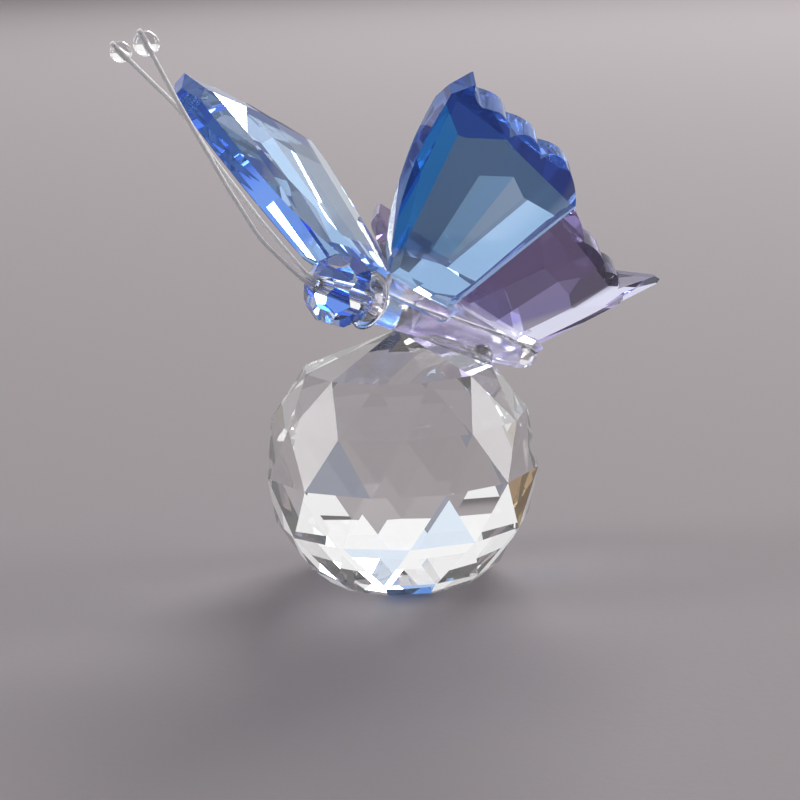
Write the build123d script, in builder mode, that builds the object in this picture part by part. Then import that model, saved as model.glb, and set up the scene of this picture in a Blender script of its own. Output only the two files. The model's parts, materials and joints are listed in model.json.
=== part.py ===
from build123d import *
import os
from math import cos, radians, sin, tan

# A cut-glass butterfly that lies nose up on a faceted glass ball.
# Millimetres, degrees. The origin is the centre of the ball's flat foot, +Z is up,
# +X is to the viewer's right and +Y is away from the viewer.

# Ball: rows of facets meet on rings of corners that lie on a sphere
ball_facets = 12
ball_radius = 20.0
ball_turn = 2.5
ring_angles = (43.3, 67.5, 90.0, 113.0, 135.5)
crown_slope = 21.7
foot_radius_share = 0.58
foot_depth_share = 0.8135
blank_margin = 4.0

# Body: a smooth drop, a round bar that narrows to a round tail end
body_radius = 2.9
body_front = 4.0
body_length = 31.8
tail_radius = 2.05
tail_taper_angle = 14.0
heading = 218.1
climb = 22.4
roll = -1.6
saddle_forward = 0.37
saddle_left = 0.58
saddle_ground = 0.6

# Neck collar and head bead, both threaded on the body's axis
collar_length = 1.9
collar_radius = 4.2
collar_rim = 0.5
head_radius = 4.8
head_length = 9.8
head_bore = 1.8
head_facets = 8
head_row_angles = (0.0, 36.0, 64.0)

# Antennae: two nylon whiskers out of the head's bore, with a bored drop on each end
whisker_diameter = 0.65
whisker_spacing = 0.72
antenna_reach = 40.0
tip_radius_left = 1.68
tip_radius_right = 1.4
whisker_end = 0.4

# Forewings: plates with a scalloped outer edge, seated at their trailing root corner
forewing_chord = 28.0
forewing_span = 35.0
forewing_wall = 4.4
forewing_outer_rise = 1.4
forewing_inner_rise = 0.7
forewing_root_back = 5.3
forewing_root_out = 5.0

# Hindwings: plates with scallops and a pointed tail, seated at their leading root corner
hindwing_chord = 28.0
hindwing_span = 25.0
hindwing_wall = 4.4
hindwing_outer_rise = 1.1
hindwing_inner_rise = 0.7
hindwing_root_back = 5.8
hindwing_root_out = 3.0

# Wing seats: dihedral, lift and sweep about a line over the body's axis, then how far the
# seat lies forward or back, inward or outward and down
wing_rise = 0.6
left_forewing_angles = (42.3, 5.8, 0.0)
left_forewing_depth = 2.04
right_forewing_angles = (38.7, 2.8, -10.0)
right_forewing_forward = 1.04
right_forewing_inward = 0.31
right_forewing_depth = 2.9
left_hindwing_angles = (44.0, 0.8, 0.0)
left_hindwing_depth = 1.8
right_hindwing_angles = (31.2, 0.0, 2.5)
right_hindwing_back = 0.8
right_hindwing_outward = 0.9
right_hindwing_depth = 2.7

# Glue: webs between the wings' roots and the body, and a mound on the ball
web_setback = 0.45
web_thickness = 3.0
web_bite = 1.5
web_lap = 1.5
web_join = 3.0
mound_length = 9.0
mound_width = 4.4
mound_height = 2.6
mound_back_share = 0.525
drip_radius = 1.75
drip_back_share = 0.76
drip_left = 3.0
drip_down = 2.5

half_facet = 180 / ball_facets
foot_radius = foot_radius_share * ball_radius
foot_depth = foot_depth_share * ball_radius
mound_back = mound_back_share * ball_radius
drip_back = drip_back_share * ball_radius
crown_ring = ring_angles[0]
crown_edge = ball_radius * sin(radians(crown_ring)) * cos(radians(half_facet))
apex_height = (
    foot_depth + ball_radius * cos(radians(crown_ring)) + crown_edge * tan(radians(crown_slope))
)

# The body's barrel is ground to seat on the rim of a crown facet, behind the ball's apex
rim_height = foot_depth + ball_radius * cos(radians(crown_ring))
axis_rise = body_radius / cos(radians(climb)) - saddle_ground
saddle_height = rim_height + axis_rise + (crown_edge + saddle_forward) * tan(radians(climb))
saddle_point = (
    saddle_forward * cos(radians(heading)) - saddle_left * sin(radians(heading)),
    saddle_forward * sin(radians(heading)) + saddle_left * cos(radians(heading)),
    saddle_height,
)
# In the body's frame X is forward along its axis, Y is to its left and Z is up
body_frame = Plane(origin=saddle_point).rotated((roll, -climb, heading), Extrinsic.XYZ)
side_plane = Plane(
    origin=body_frame.origin, x_dir=body_frame.x_dir, z_dir=body_frame.y_dir * -1
)
body_axis = Axis(body_frame.origin, body_frame.x_dir)


def body_point(forward, left, up):
    """A place in the body's frame, as a point of the model."""
    return body_frame.from_local_coords(Vector(forward, left, up))


def facet_plane(first, second, third, inside):
    """The plane through three points that faces away from a point inside the blank."""
    normal = (second - first).cross(third - first)
    if normal.dot(inside - first) > 0:
        normal = normal * -1
    return Plane(origin=first, z_dir=normal)


def ring_corner(row, index):
    """A corner of the ball: the odd rows of rings are turned by half a facet."""
    turn = ball_turn + half_facet * (2 * index + (row + 1) % 2)
    polar = radians(ring_angles[row])
    reach = ball_radius * sin(polar)
    return Vector(
        reach * cos(radians(turn)),
        reach * sin(radians(turn)),
        foot_depth + ball_radius * cos(polar),
    )


def foot_corner(index):
    """A corner of the foot, under the matching corner of the lowest ring."""
    turn = ball_turn + half_facet * (2 * index + 1)
    return Vector(foot_radius * cos(radians(turn)), foot_radius * sin(radians(turn)), 0)


ball_centre = Vector(0, 0, foot_depth)
last_ring = len(ring_angles) - 1
with BuildPart() as ball_base:
    with BuildSketch(Plane.XY):
        Circle(ball_radius + blank_margin)
    extrude(amount=foot_depth + ball_radius + blank_margin)
    for index in range(ball_facets):
        corner, neighbour = ring_corner(0, index), ring_corner(0, index + 1)
        apex = Vector(0, 0, apex_height)
        split(bisect_by=facet_plane(corner, neighbour, apex, ball_centre), keep=Keep.BOTTOM)
    for row in range(last_ring):
        # Each band between two rings is a belt of triangles, point up and point down
        shift = 1 - row % 2
        for index in range(ball_facets):
            upper = ring_corner(row, index)
            upper_next = ring_corner(row, index + 1)
            lower = ring_corner(row + 1, index + shift)
            lower_back = ring_corner(row + 1, index + shift - 1)
            point_down = facet_plane(upper, upper_next, lower, ball_centre)
            point_up = facet_plane(lower_back, lower, upper, ball_centre)
            split(bisect_by=point_down, keep=Keep.BOTTOM)
            split(bisect_by=point_up, keep=Keep.BOTTOM)
    for index in range(ball_facets):
        corner, neighbour = ring_corner(last_ring, index), ring_corner(last_ring, index + 1)
        pavilion = facet_plane(corner, neighbour, foot_corner(index), ball_centre)
        split(bisect_by=pavilion, keep=Keep.BOTTOM)
ball_base.part.label = "ball_base"

# The body's outline ends in an arc that is tangent to the barrel and to the round tail end
taper = radians(tail_taper_angle)
taper_radius = (body_radius - tail_radius * cos(taper)) / (1 - cos(taper))
tail_centre = body_front - body_length + tail_radius
taper_start = tail_centre + (taper_radius - tail_radius) * sin(taper)
with BuildPart() as body:
    with BuildSketch(side_plane):
        with BuildLine():
            Polyline((body_front, 0), (body_front, body_radius), (taper_start, body_radius))
            TangentArc(
                (taper_start, body_radius),
                (tail_centre - tail_radius * sin(taper), tail_radius * cos(taper)),
                tangent=(-1, 0),
            )
            TangentArc(
                (tail_centre - tail_radius, 0),
                (tail_centre - tail_radius * sin(taper), tail_radius * cos(taper)),
                tangent=(0, 1),
            )
            Line((tail_centre - tail_radius, 0), (body_front, 0))
        make_face()
    revolve(axis=body_axis)
    add(ball_base.part, mode=Mode.SUBTRACT)
body.part.label = "body"

collar_front = body_front + collar_length
with BuildPart() as neck_collar:
    with BuildSketch(side_plane):
        with BuildLine():
            Polyline((collar_front, 0), (body_front, 0), (body_front, body_radius))
            TangentArc(
                (body_front, body_radius), (collar_front - collar_rim, collar_radius), tangent=(1, 0)
            )
            Polyline(
                (collar_front - collar_rim, collar_radius), (collar_front, collar_radius - collar_rim),
                (collar_front, 0),
            )
        make_face()
    revolve(axis=body_axis)
neck_collar.part.label = "neck_collar"

head_centre = body_point(collar_front + head_length / 2, 0, 0)
head_frame = Plane(origin=head_centre, x_dir=body_frame.z_dir, z_dir=body_frame.x_dir)


def head_facet(row, lean_angle, index):
    """A facet of the head bead, square to the line from the bead's centre to it."""
    turn = radians(180 / head_facets * (2 * index + row % 2))
    lean = radians(lean_angle)
    direction = (
        head_frame.x_dir * (cos(turn) * cos(lean))
        + head_frame.y_dir * (sin(turn) * cos(lean))
        + head_frame.z_dir * sin(lean)
    )
    return Plane(origin=head_centre + direction * head_radius, z_dir=direction)


with BuildPart() as head_bead:
    with BuildSketch(head_frame.offset(-head_length / 2)):
        Circle(head_radius + blank_margin)
    extrude(amount=head_length)
    for row, row_angle in enumerate(head_row_angles):
        for index in range(head_facets):
            for lean in sorted({row_angle, -row_angle}):
                split(bisect_by=head_facet(row, lean, index), keep=Keep.BOTTOM)
    with Locations(head_frame.offset(head_length / 2)):
        Hole(radius=head_bore / 2)
head_bead.part.label = "head_bead"

# Whiskers: routes in the body's frame, as shares of the reach, from the head's front face:
# forward, outward and up
antenna_route_shares = {
    "left": (
        (0.035, 0.0, 0.0), (0.27, 0.012, 0.0855), (0.47, 0.025, 0.213),
        (0.757, 0.04, 0.415), (0.976, 0.051, 0.581),
    ),
    "right": (
        (0.02, 0.0, 0.0), (0.27, 0.0125, 0.1275), (0.52, 0.0275, 0.273),
        (0.695, 0.0375, 0.388), (0.998, 0.051, 0.507),
    ),
}
whisker_bend_shares = {"left": (0.25, 0.45, 1.2, 1.2), "right": (0.2, 0.6, 0.9, 0.5)}
head_front = collar_front + head_length


def antenna_route(name, side):
    """The corners of a whisker's route, from the collar to the whisker's end."""
    level = -side * whisker_spacing / 2
    corners = [body_point(collar_front, 0, level)]
    for forward, outward, up in antenna_route_shares[name]:
        corners.append(
            body_point(
                head_front + forward * antenna_reach,
                side * outward * antenna_reach,
                level + up * antenna_reach,
            )
        )
    return corners


def make_antenna(name, side):
    """One whisker and the bored drop near its end."""
    corners = antenna_route(name, side)
    bends = [share * antenna_reach for share in whisker_bend_shares[name]]
    with BuildPart() as whisker:
        with BuildLine() as route:
            FilletPolyline(*corners, radius=bends)
        with BuildSketch(Plane(origin=corners[0], z_dir=corners[1] - corners[0])):
            Circle(whisker_diameter / 2)
        sweep(path=route.line)
    radius = tip_radius_left if side > 0 else tip_radius_right
    along = (corners[-1] - corners[-2]).normalized()
    centre = corners[-1] - along * (radius + whisker_end)
    drop_plane = Plane(origin=centre, z_dir=along)
    with BuildPart() as drop:
        with BuildSketch(Plane(origin=centre, x_dir=along, z_dir=drop_plane.x_dir)):
            with BuildLine():
                CenterArc((0, 0), radius, 0, 180)
                Line((-radius, 0), (radius, 0))
            make_face()
        revolve(axis=Axis(centre, along))
        with BuildSketch(drop_plane):
            Circle(whisker_diameter / 2)
        extrude(amount=radius, both=True, mode=Mode.SUBTRACT)
    whisker.part.label = f"antenna_{name}"
    drop.part.label = f"antenna_tip_{name}"
    return whisker.part, drop.part


antenna_left, antenna_tip_left = make_antenna("left", 1)
antenna_right, antenna_tip_right = make_antenna("right", -1)


def wing_seat(side, angles, forward, outward, height):
    """A wing's frame: X forward, Y along the span, Z to its inner face, 0 at the outer edge."""
    dihedral, lift, sweep = angles
    turned = body_frame.location * Location((0, 0, wing_rise), (side * dihedral, -lift, side * sweep))
    return Plane(turned * Location((forward, side * outward, height)))


# Outlines are runs of lines and arcs, as shares of chord and span from the root corner.
# A facet is the plane through three points: shares of chord and span, and the height over
# the edge's flat as a share of the face's rise.
forewing = {
    "root": (-forewing_root_back, forewing_root_out),
    "reach": (forewing_chord, forewing_span),
    "wall": forewing_wall,
    "rises": (forewing_outer_rise, forewing_inner_rise),
    "heart_share": (0.45, 0.45),
    "root_shares": ((0.0, 0.003), (0.412, 0.025)),
    "outline_shares": (
        ((0.412, 0.025), (0.468, 0.056)),
        ((0.468, 0.056), (0.804, 0.48), (1.004, 0.914)),
        ((1.004, 0.914), (0.946, 1.0)),
        ((0.946, 1.0), (0.895, 0.953), (0.839, 0.937)),
        ((0.839, 0.937), (0.746, 0.951), (0.621, 0.891)),
        ((0.621, 0.891), (0.479, 0.914), (0.386, 0.863)),
        ((0.386, 0.863), (0.3, 0.893), (0.207, 0.869)),
        ((0.207, 0.869), (0.12, 0.83), (0.018, 0.74)),
        ((0.018, 0.74), (0.0, 0.003)),
        ((0.0, 0.003), (0.412, 0.025)),
    ),
    "outer_facets_shares": (
        ((0.448, 0.759, 0.84), (0.313, 0.232, 1.0), (0.584, 0.686, 0.62)),
        ((0.448, 0.759, 0.84), (0.313, 0.232, 1.0), (0.313, 0.698, 1.0)),
        ((0.584, 0.686, 0.62), (0.413, 0.223, 0.843), (0.547, 0.212, 0.5)),
        ((0.584, 0.686, 0.62), (0.448, 0.759, 0.84), (0.769, 0.782, 0.197)),
        ((0.448, 0.759, 0.84), (0.313, 0.698, 1.0), (0.495, 0.849, 0.585)),
        ((0.313, 0.698, 1.0), (0.16, 0.698, 1.0), (0.16, 0.812, 0.714)),
        ((0.16, 0.698, 1.0), (0.063, 0.682, 1.0), (0.15, 0.811, 0.704)),
        ((0.063, 0.682, 1.0), (0.081, 0.2, 1.0), (0.007, 0.45, 0.1)),
        ((0.081, 0.2, 1.0), (0.313, 0.232, 1.0), (0.25, 0.03, 0.0)),
        ((0.547, 0.212, 0.5), (0.817, 0.762, 0.067), (0.804, 0.48, -0.35)),
        ((0.779, 0.806, 0.162), (0.616, 0.89, 0.428), (0.762, 0.935, -0.12)),
        ((0.495, 0.849, 0.6), (0.173, 0.781, 0.79), (0.357, 0.859, 0.0)),
    ),
    "inner_facets_shares": (
        ((1.011, 0.871, 1.0), (0.479, 0.814, 1.0), (0.382, 0.863, 0.0)),
        ((0.479, 0.814, 1.0), (0.307, 0.057, 1.0), (0.193, 0.051, 0.4)),
        ((0.261, 0.774, 0.4), (0.193, 0.051, 0.4), (0.01, 0.4, -2.5)),
        ((0.4, 0.1, 1.0), (0.7, 0.5, 1.0), (0.65, 0.24, -1.3)),
        ((0.7, 0.5, 1.0), (0.88, 0.85, 1.0), (0.93, 0.7, -0.6)),
        ((0.902, 0.914, 1.0), (0.953, 0.714, 1.0), (1.004, 0.914, -2.2)),
        ((0.45, 0.8, 0.8), (0.12, 0.7, 0.8), (0.255, 0.9, -2.4)),
        ((0.307, 0.057, 1.0), (0.511, 0.071, 1.0), (0.4, 0.0, 0.2)),
    ),
}
hindwing = {
    "root": (-hindwing_root_back, hindwing_root_out),
    "reach": (-hindwing_chord, hindwing_span),
    "wall": hindwing_wall,
    "rises": (hindwing_outer_rise, hindwing_inner_rise),
    "heart_share": (0.35, 0.45),
    "root_shares": ((0.679, 0.0), (0.0, 0.12)),
    "outline_shares": (
        ((0.0, 0.12), (0.01, 0.86)),
        ((0.01, 0.86), (0.06, 0.992)),
        ((0.06, 0.992), (0.17, 0.955), (0.329, 0.824)),
        ((0.329, 0.824), (0.461, 0.8), (0.575, 0.712)),
        ((0.575, 0.712), (0.639, 0.716), (0.757, 0.62)),
        ((0.757, 0.62), (0.932, 0.764)),
        ((0.932, 0.764), (0.982, 0.752)),
        ((0.982, 0.752), (0.989, 0.716)),
        ((0.989, 0.716), (0.861, 0.548)),
        ((0.861, 0.548), (0.814, 0.376), (0.679, 0.0)),
        ((0.679, 0.0), (0.0, 0.12)),
    ),
    "outer_facets_shares": (
        ((0.254, 0.12, 1.0), (0.332, 0.568, 1.0), (0.214, 0.628, 0.6)),
        ((0.332, 0.568, 1.0), (0.464, 0.508, 1.0), (0.432, 0.632, 0.55)),
        ((0.464, 0.508, 1.0), (0.557, 0.424, 1.0), (0.564, 0.552, 0.4)),
        ((0.446, 0.072, 1.0), (0.557, 0.424, 1.0), (0.679, 0.444, 0.3)),
        ((0.096, 0.204, 0.6), (0.214, 0.628, 0.6), (0.02, 0.5, -0.6)),
        ((0.35, 0.624, 0.55), (0.432, 0.632, 0.55), (0.575, 0.712, 0.0)),
        ((0.254, 0.12, 1.0), (0.446, 0.072, 1.0), (0.3, 0.0, 0.2)),
    ),
    "inner_facets_shares": (
        ((0.1, 0.84, 1.0), (0.75, 0.54, 1.0), (0.757, 0.62, 0.0)),
        ((0.12, 0.2, 1.0), (0.1, 0.84, 1.0), (0.01, 0.5, -0.6)),
        ((0.6, 0.12, 1.0), (0.75, 0.54, 1.0), (0.82, 0.45, -0.4)),
    ),
}


def on_plate(wing, side, share):
    """A share of a wing's chord and span, as a place on its seat."""
    return (
        wing["root"][0] + share[0] * wing["reach"][0],
        side * (wing["root"][1] + share[1] * wing["reach"][1]),
    )


def make_wing(name, wing, side, seat):
    """A wing: its outline as a plate, then the facets of its two faces cut one by one."""
    outer_rise, inner_rise = wing["rises"]
    heart = seat.from_local_coords(Vector(*on_plate(wing, side, wing["heart_share"]), wing["wall"] / 2))
    with BuildPart() as plate:
        with BuildSketch(seat.offset(-outer_rise)):
            with BuildLine():
                for run in wing["outline_shares"]:
                    start, *between, end = [on_plate(wing, side, share) for share in run]
                    if between:
                        ThreePointArc(start, *between, end)
                    else:
                        Line(start, end)
            make_face()
        extrude(amount=outer_rise + wing["wall"] + inner_rise)
        for face, level, rise in (("outer", 0, -outer_rise), ("inner", wing["wall"], inner_rise)):
            for shares in wing[f"{face}_facets_shares"]:
                corners = [
                    seat.from_local_coords(Vector(*on_plate(wing, side, share), level + share[2] * rise))
                    for share in shares
                ]
                split(bisect_by=facet_plane(*corners, heart), keep=Keep.BOTTOM)
    plate.part.label = name
    return plate.part


forewing_seat_left = wing_seat(1, left_forewing_angles, 0, 0, -left_forewing_depth)
forewing_seat_right = wing_seat(
    -1, right_forewing_angles, right_forewing_forward, -right_forewing_inward, -right_forewing_depth
)
hindwing_seat_left = wing_seat(1, left_hindwing_angles, 0, 0, -left_hindwing_depth)
hindwing_seat_right = wing_seat(
    -1, right_hindwing_angles, -right_hindwing_back, right_hindwing_outward, -right_hindwing_depth
)
forewing_left = make_wing("forewing_left", forewing, 1, forewing_seat_left)
forewing_right = make_wing("forewing_right", forewing, -1, forewing_seat_right)
hindwing_left = make_wing("hindwing_left", hindwing, 1, hindwing_seat_left)
hindwing_right = make_wing("hindwing_right", hindwing, -1, hindwing_seat_right)

held = [
    ball_base.part, body.part, neck_collar.part, head_bead.part,
    forewing_left, forewing_right, hindwing_left, hindwing_right,
]


def make_wing_glue(name, side, seats, neighbours):
    """The glue between one side's wing roots and the body, cut by the pieces it holds."""
    with BuildPart() as glue:
        for wing, seat, reach in zip((forewing, hindwing), seats, (0, web_join)):
            rear, front = [on_plate(wing, side, share) for share in wing["root_shares"]]
            ahead = front[0] + reach
            deep = side * web_bite
            with BuildSketch(seat.offset(web_setback)):
                with BuildLine():
                    Polyline(
                        (rear[0] - web_lap, rear[1]), (rear[0] + web_lap, rear[1] + deep),
                        (front[0] - web_lap, front[1] + deep),
                        (ahead, front[1]), (min(ahead + web_lap, body_front - web_lap), 0),
                        (max(rear[0] - web_lap, tail_centre), 0), close=True,
                    )
                make_face()
            extrude(amount=web_thickness)
        for neighbour in neighbours:
            add(neighbour, mode=Mode.SUBTRACT)
    glue.part.label = name
    return glue.part


seats_left = (forewing_seat_left, hindwing_seat_left)
seats_right = (forewing_seat_right, hindwing_seat_right)
wing_glue_left = make_wing_glue("wing_glue_left", 1, seats_left, held)
wing_glue_right = make_wing_glue("wing_glue_right", -1, seats_right, held + [wing_glue_left])

# The mound of glue on the ball's crown, with the drip that stands up beside the body
mound_seat = Plane(body_frame.location * Location((-mound_back, 0, -body_radius)))
with BuildPart() as ball_glue:
    with BuildSketch(mound_seat.offset(-mound_height / 2)):
        Ellipse(mound_length, mound_width)
    with BuildSketch(mound_seat.offset(mound_height / 2)):
        Ellipse(mound_length - mound_height, mound_width - mound_height / 2)
    loft()
    with Locations(Location(body_point(-drip_back, drip_left, -drip_down))):
        Sphere(drip_radius)
    for neighbour in held + [wing_glue_left, wing_glue_right]:
        add(neighbour, mode=Mode.SUBTRACT)
ball_glue.part.label = "ball_glue"

solids = [
    ball_base.part, body.part, neck_collar.part, head_bead.part,
    antenna_left, antenna_right, antenna_tip_left, antenna_tip_right,
    forewing_left, forewing_right, hindwing_left, hindwing_right,
    wing_glue_left, wing_glue_right, ball_glue.part,
]
os.makedirs("parts", exist_ok=True)
for solid in solids:
    export_step(solid, f"parts/{solid.label}.step")
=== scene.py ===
import json
from math import pi, radians

import bpy
from mathutils import Euler, Matrix, Vector

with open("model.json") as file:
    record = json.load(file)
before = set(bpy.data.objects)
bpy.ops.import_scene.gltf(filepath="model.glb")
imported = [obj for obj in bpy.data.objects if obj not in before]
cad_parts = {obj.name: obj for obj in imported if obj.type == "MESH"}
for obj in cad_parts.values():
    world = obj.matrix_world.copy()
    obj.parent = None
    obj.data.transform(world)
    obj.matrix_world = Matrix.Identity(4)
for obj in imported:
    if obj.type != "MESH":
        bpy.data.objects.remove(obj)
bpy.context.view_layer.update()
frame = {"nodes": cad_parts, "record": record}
nodes = frame["nodes"]
MM = 0.001

# How wide each mark on a surface is
SMEAR = 6 * MM
ROD_WAVE = 9 * MM
WHISKER_STREAK = 1.5 * MM
GLUE_CLOUD = 3 * MM
PAPER_GRAIN = 1.2 * MM

# Facets whose normals differ by more than this draw lots of their own
FACET_STEP = 0.03
# Painted glow: light that has turned this often inside a crystal starts to get a painted glow, and
# then gets it in full
PAINTED_GLOW_STARTS = 3.0
PAINTED_GLOW_FULL = 8.0


def linear(colour):
    """An sRGB hex colour as linear red, green, blue and full alpha."""
    parts = [int(colour[i:i + 2], 16) / 255 for i in (1, 3, 5)]
    return [c / 12.92 if c <= 0.04045 else ((c + 0.055) / 1.055) ** 2.4 for c in parts] + [1.0]


WHITE = linear("#ffffff")


def add(tree, kind, settings=(), **inputs):
    """Adds a node with its settings. An input goes by its name, or by i and its number, and is a
    value or the socket that feeds it.
    """
    node = tree.nodes.new(kind)
    for name, value in dict(settings).items():
        setattr(node, name, value)
    for name, value in inputs.items():
        numbered = name[0] == "i" and name[1:].isdigit()
        socket = node.inputs[int(name[1:])] if numbered else node.inputs[name.replace("_", " ")]
        if isinstance(value, bpy.types.NodeSocket):
            tree.links.new(value, socket)
        else:
            socket.default_value = value
    return node


def new_material(name):
    """An empty material, with its node tree and its pattern coordinates."""
    material = bpy.data.materials.new(name)
    material.use_nodes = True
    tree = material.node_tree
    tree.nodes.clear()
    place = add(tree, "ShaderNodeTexCoord").outputs["Object"]
    return material, tree, place


def finish_material(tree, shader):
    output = tree.nodes.new("ShaderNodeOutputMaterial")
    tree.links.new(shader.outputs["BSDF"], output.inputs["Surface"])


def step_ramp(tree, factor, high, shades):
    """A ramp of flat colours from 0 to high, each from its own place on to the next one's."""
    share = add(tree, "ShaderNodeMapRange", Value=factor, From_Max=high)
    ramp = add(tree, "ShaderNodeValToRGB", Fac=share.outputs["Result"])
    ramp.color_ramp.interpolation = "CONSTANT"
    stops = ramp.color_ramp.elements
    for index, (place, shade) in enumerate(shades):
        position = place / high
        # A new ramp has two stops already
        stop = stops[index] if index < 2 else stops.new(position)
        stop.position = position
        stop.color = linear(shade)
    return ramp.outputs["Color"]


def cut_crystal(name, look, shade_facets, *seat):
    """Cut and polished lead crystal: flat bright facets with sharp edges and strong refraction."""
    material, tree, place = new_material(name)
    # Handling leaves a faint haze of fine smears on the polish
    smear = add(tree, "ShaderNodeTexNoise", Vector=place, Scale=1 / SMEAR, Detail=3.0)
    haze = add(tree, "ShaderNodeMapRange", Value=smear.outputs["Fac"], From_Min=0.45, From_Max=0.8,
               To_Min=0.0, To_Max=0.02)
    # The facets' colours, with their painted light, glints and reflections
    colour = shade_facets(tree, look, *seat)
    # Painted glow: where light has been thrown about inside many times, the crystal gives off a
    # painted glow of its own colour
    turns = add(tree, "ShaderNodeLightPath").outputs["Ray Depth"]
    glow = add(tree, "ShaderNodeMapRange", Value=turns, From_Min=PAINTED_GLOW_STARTS, From_Max=PAINTED_GLOW_FULL,
               To_Max=look["glow"])
    glass = add(tree, "ShaderNodeBsdfPrincipled", Base_Color=colour, IOR=1.545,
                Transmission_Weight=1.0, Roughness=haze.outputs["Result"], Emission_Color=colour,
                Emission_Strength=glow.outputs["Result"])
    finish_material(tree, glass)
    return material


def painted_facet_glints(tree, look):
    """Painted glints: a colour drawn by lot for each flat facet, painted in for the sparks of split
    light and the reflections that crystal throws.
    """
    true_normal = add(tree, "ShaderNodeNewGeometry").outputs["True Normal"]
    facet = add(tree, "ShaderNodeVectorMath", {"operation": "SNAP"}, i0=true_normal,
                i1=(FACET_STEP, FACET_STEP, FACET_STEP))
    lot = add(tree, "ShaderNodeTexWhiteNoise", Vector=facet.outputs["Vector"])
    return step_ramp(tree, lot.outputs["Value"], 1.0, look["shades"])


BODY_TURN = Euler((radians(-1.6), radians(-22.4), radians(218.1)), "XYZ").to_matrix()


def wing_turn(side, dihedral, lift, sweep):
    """A wing's frame from the angles of its seat: X forward, Y to the left, Z to the inner face."""
    return (BODY_TURN @ Matrix.Rotation(radians(side * dihedral), 3, "X")
            @ Matrix.Rotation(radians(-lift), 3, "Y")
            @ Matrix.Rotation(radians(side * sweep), 3, "Z"))


def wing_tint_and_painted_light(tree, look, name, side, angles):
    """The crystal's tint, with painted light and shade: a colour for each kind of facet, told by
    its angle to the wing's outer table.
    """
    turn = wing_turn(side, *angles)
    outer_face = -turn.col[2]
    surface = add(tree, "ShaderNodeNewGeometry").outputs
    facing = add(tree, "ShaderNodeVectorMath", {"operation": "DOT_PRODUCT"},
                 i0=surface["True Normal"], i1=tuple(outer_face))
    # Seen from inside the crystal, a facet's normal is turned over, so it is turned back
    sign = add(tree, "ShaderNodeMapRange", Value=surface["Backfacing"], To_Min=1.0, To_Max=-1.0)
    cosine = add(tree, "ShaderNodeMath", {"operation": "MULTIPLY"}, i0=facing.outputs["Value"],
                 i1=sign.outputs["Result"])
    lean = add(tree, "ShaderNodeMath", {"operation": "ARCCOSINE"}, i0=cosine.outputs["Value"])
    degrees = add(tree, "ShaderNodeMath", {"operation": "DEGREES"}, i0=lean.outputs["Value"])
    colour = step_ramp(tree, degrees.outputs["Value"], 180.0, look["shades"])
    # Painted paleness: light crosses little crystal at the trailing and root sides, so the tint is
    # painted pale there
    place = add(tree, "ShaderNodeTexCoord").outputs["Object"]
    corners = [vertex.co for vertex in nodes[name].data.vertices]
    for (forward, outward), pale_until, deep_from in look["pale_sides"]:
        way = turn @ Vector((forward, side * outward, 0))
        reach = [way.dot(corner) for corner in corners]
        start = min(reach)
        span = max(reach) - start
        along = add(tree, "ShaderNodeVectorMath", {"operation": "DOT_PRODUCT"}, i0=place,
                    i1=tuple(way))
        depth = add(tree, "ShaderNodeMapRange", Value=along.outputs["Value"],
                    From_Min=start + pale_until * span, From_Max=start + deep_from * span)
        colour = add(tree, "ShaderNodeMix", {"data_type": "RGBA"}, i0=depth.outputs["Result"],
                     i6=linear(look["pale"]), i7=colour).outputs[2]
    return colour


# Wing shades by degrees from the outer table: the table, its two strips, the flat facets, the
# bevels, the cut edge, the inner bevels and the inner table. The crystal's own tint is blue or
# lilac, and the differences between these facets are painted light and shade: painted reflections,
# glints and darker facets. A pale side is a direction on the wing, forward and outward, and the
# shares of the wing's reach along it where the painted pale tint ends and the deep one begins. The
# painted glow is the strength of the glow painted in where light has turned inside many times.
SAPPHIRE = {
    "stone": "sapphire",
    "shades": ((0, "#9cc4ea"), (1.5, "#b4e0ff"), (3.9, "#78c0fc"), (5.1, "#3a6498"), (9, "#0a2fae"),
               (13.2, "#0a70f0"), (25, "#1c48d0"), (60, "#5a88ff"), (110, "#5f86ee"),
               (150, "#bcd6fa"), (178, "#d0e4ff")),
    "pale": "#9abde6",
    "pale_sides": (((1, 0), 0.06, 0.16), ((0.55, 0.83), 0.29, 0.33)),
    "glow": 0.35,
}
LILAC = {
    "stone": "lilac",
    "shades": ((0, "#9890e0"), (5, "#62588e"), (9, "#8078b8"), (12.7, "#4d4764"), (16, "#6a5790"),
               (60, "#9a88c8"), (110, "#a898d4"), (150, "#dad2ee"), (178, "#ece6fa")),
    "pale": "#e6e6fc",
    "pale_sides": (((0.8, 0.6), 0.28, 0.34), ((0, 1), 0.05, 0.15)),
    "glow": 0.13,
}
# Side, angles of the seat in degrees (dihedral, lift and sweep, as in the source) and look
WING_SEATS = {
    "forewing_left": (1, (42.3, 5.8, 0.0), SAPPHIRE),
    "forewing_right": (-1, (38.7, 2.8, -10.0), SAPPHIRE),
    "hindwing_left": (1, (44.0, 0.8, 0.0), LILAC),
    "hindwing_right": (-1, (31.2, 0.0, 2.5), LILAC),
}
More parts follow.
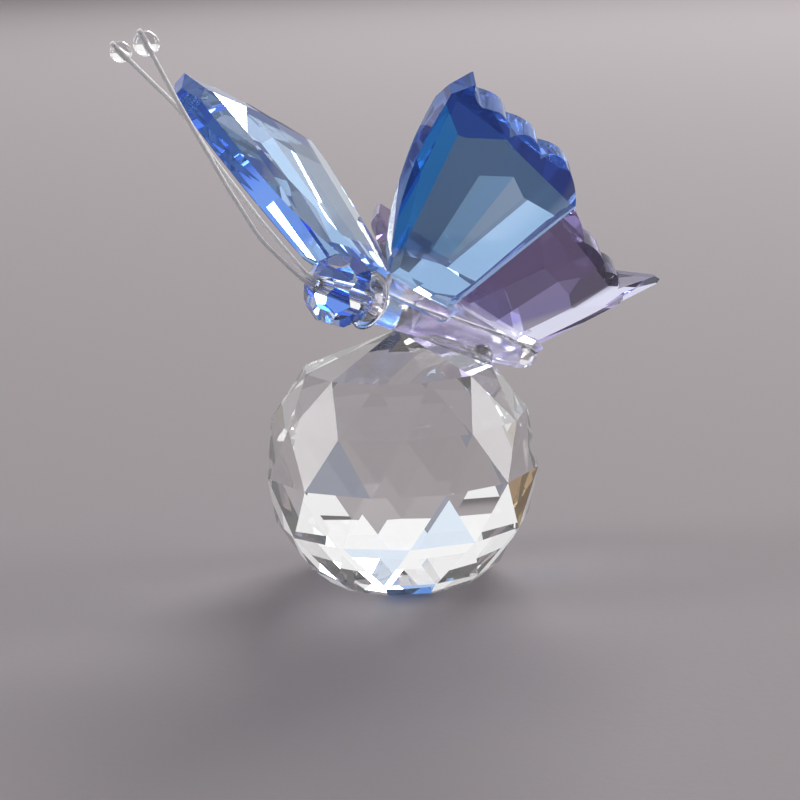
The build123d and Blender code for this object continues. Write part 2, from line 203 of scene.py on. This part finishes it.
# Shades by lot, from 0 to 1: the ball is white with a few painted cold sparks and a painted warm
# one, and the bead has painted reflections of the wings' blue. The painted glow is the strength of
# the glow painted in where light has turned inside many times.
BALL = {
    "shades": ((0.0, "#ffffff"), (0.31, "#78a8ff"), (0.32, "#ffffff"), (0.35, "#ffc474"),
               (0.36, "#ffffff"), (0.945, "#cfe4ff"), (0.975, "#ffffff")),
    "glow": 0.15,
}
BEAD = {
    "shades": ((0.0, "#ffffff"), (0.58, "#86a4fb"), (0.72, "#f8faff"), (0.89, "#2a58e6")),
    "glow": 0.1,
}
own_crystals = {
    "ball_base": cut_crystal("clear lead crystal ball, cut and polished", BALL, painted_facet_glints),
    "head_bead": cut_crystal("clear lead crystal bead, cut and polished", BEAD, painted_facet_glints),
}
for name, (side, angles, look) in WING_SEATS.items():
    words = name.replace("_", ", ")
    own_crystals[name] = cut_crystal(f"{look['stone']} crystal, cut and polished, {words}", look,
                                     wing_tint_and_painted_light, name, side, angles)


def pressed_crystal():
    """Clear crystal, drawn as a rod and fire-polished round: smooth, wet-looking and colourless."""
    material, tree, place = new_material("clear crystal rod, fire-polished")
    # Slow waves are left where the rod was drawn, and they bend what shows through it
    wave = add(tree, "ShaderNodeTexNoise", Vector=place, Scale=1 / ROD_WAVE, Detail=1.0)
    ripple = add(tree, "ShaderNodeBump", Height=wave.outputs["Fac"], Strength=0.25, Distance=1 * MM)
    glass = add(tree, "ShaderNodeBsdfPrincipled", Base_Color=WHITE, IOR=1.52,
                Transmission_Weight=1.0, Roughness=0.01, Normal=ripple.outputs["Normal"])
    finish_material(tree, glass)
    return material


def nylon():
    """Clear drawn nylon: thin and whitish, because it scatters light inside."""
    material, tree, place = new_material("clear nylon monofilament, drawn")
    # Drawing leaves duller and glossier stretches
    streak = add(tree, "ShaderNodeTexNoise", Vector=place, Scale=1 / WHISKER_STREAK, Detail=2.0)
    rough = add(tree, "ShaderNodeMapRange", Value=streak.outputs["Fac"], To_Min=0.05, To_Max=0.25)
    thread = add(tree, "ShaderNodeBsdfPrincipled", Base_Color=WHITE, IOR=1.53,
                 Subsurface_Weight=0.8, Subsurface_Scale=0.6 * MM,
                 Subsurface_Radius=(1.0, 1.0, 1.0), Roughness=rough.outputs["Result"])
    finish_material(tree, thread)
    return material


def glue():
    """Cured clear epoxy: glassy and very slightly milky."""
    material, tree, place = new_material("clear epoxy glue, cured in a bead")
    # Its skin cures glossier in some places than in others
    cloud = add(tree, "ShaderNodeTexNoise", Vector=place, Scale=1 / GLUE_CLOUD, Detail=3.0)
    rough = add(tree, "ShaderNodeMapRange", Value=cloud.outputs["Fac"], To_Min=0.02, To_Max=0.2)
    epoxy = add(tree, "ShaderNodeBsdfPrincipled", Base_Color=linear("#fbfafc"), IOR=1.5,
                Transmission_Weight=0.95, Roughness=rough.outputs["Result"])
    finish_material(tree, epoxy)
    return material


def paper():
    """Uncoated paper: matt, with a fine tooth that softens the shadow."""
    material, tree, place = new_material("pale grey paper")
    grain = add(tree, "ShaderNodeTexNoise", Vector=place, Scale=1 / PAPER_GRAIN, Detail=4.0)
    tooth = add(tree, "ShaderNodeBump", Height=grain.outputs["Fac"], Strength=0.15,
                Distance=0.2 * MM)
    sheet = add(tree, "ShaderNodeBsdfPrincipled", Base_Color=linear("#928b8e"), Roughness=0.85,
                Normal=tooth.outputs["Normal"])
    finish_material(tree, sheet)
    return material


finishes = {"clear_crystal": pressed_crystal(), "nylon": nylon(), "clear_glue": glue()}
for piece in frame["record"]["subparts"]:
    name = piece["node"]
    finish = own_crystals.get(name) or finishes[piece["material_slot"]]
    nodes[name].material_slots[0].material = finish

# Floor
bpy.ops.object.select_all(action="DESELECT")
bpy.ops.mesh.primitive_plane_add(size=14.0, location=(0, 0, 0))
floor = bpy.context.object
floor.name = "floor"
floor.data.materials.append(paper())

# The room is grey in front and low, and white behind and high. It lights matt surfaces by a
# share of that, and shows in full where glass mirrors it or lets it through.
ROOM_LIGHT = 0.42
world = bpy.data.worlds.new("studio")
bpy.context.scene.world = world
world.use_nodes = True
tree = world.node_tree
background = tree.nodes["Background"]
sky = add(tree, "ShaderNodeTexCoord").outputs["Generated"]
way = add(tree, "ShaderNodeSeparateXYZ", Vector=sky)
back = add(tree, "ShaderNodeMath", {"operation": "MULTIPLY"}, i0=way.outputs["Y"], i1=0.5)
high = add(tree, "ShaderNodeMath", {"operation": "MULTIPLY_ADD"}, i0=way.outputs["Z"], i1=0.7,
           i2=back.outputs["Value"])
room = add(tree, "ShaderNodeValToRGB", Fac=high.outputs["Value"])
grey_end, white_end = room.color_ramp.elements
grey_end.position = 0.0
grey_end.color = linear("#6f6a6d")
white_end.position = 0.5
white_end.color = WHITE
rays = add(tree, "ShaderNodeLightPath").outputs
shine = add(tree, "ShaderNodeMath", {"operation": "MAXIMUM"}, i0=rays["Is Glossy Ray"],
            i1=rays["Is Transmission Ray"])
level = add(tree, "ShaderNodeMapRange", Value=shine.outputs["Value"], To_Min=ROOM_LIGHT, To_Max=1.0)
tree.links.new(room.outputs["Color"], background.inputs["Color"])
tree.links.new(level.outputs["Result"], background.inputs["Strength"])

# Half way up the ornament
LIT_POINT = Vector((0, 0, 0.04))


def softbox(name, width, height, watts, place):
    """A softbox that faces the ornament."""
    data = bpy.data.lights.new(name, "AREA")
    data.shape = "RECTANGLE"
    data.size = width
    data.size_y = height
    data.energy = watts
    lamp = bpy.data.objects.new(name, data)
    bpy.context.scene.collection.objects.link(lamp)
    facing = (Vector(place) - LIT_POINT).to_track_quat("Z", "Y").to_matrix().to_4x4()
    lamp.matrix_world = Matrix.Translation(place) @ facing


# The side boxes stand where the ball's facets mirror them as in the photograph
softbox("back softbox", 1.5, 0.62, 46, (0.75, 2.0, 1.55))
softbox("left softbox", 0.7, 1.3, 15, (-2.0, 0.0, 0.75))
softbox("right softbox", 0.7, 1.3, 15, (1.95, 0.35, 0.7))

# Camera, at the photograph's place and angle: angles in radians, lengths of the lens in mm
CAMERA_PLACE = (0, -0.31948, 0.0939)
LOOKS_DOWN = 0.21016
LOOKS_ASIDE = -0.00042
ROLL = -0.03501
view = bpy.data.cameras.new("camera")
view.lens = 102.1
view.sensor_width = 36
view.clip_start = 0.01
camera = bpy.data.objects.new("camera", view)
bpy.context.scene.collection.objects.link(camera)
aim = Euler((pi / 2 - LOOKS_DOWN, 0, LOOKS_ASIDE)).to_matrix() @ Matrix.Rotation(ROLL, 3, "Z")
camera.matrix_world = Matrix.Translation(CAMERA_PLACE) @ aim.to_4x4()
bpy.context.scene.camera = camera

bpy.context.scene.view_settings.view_transform = "Standard"
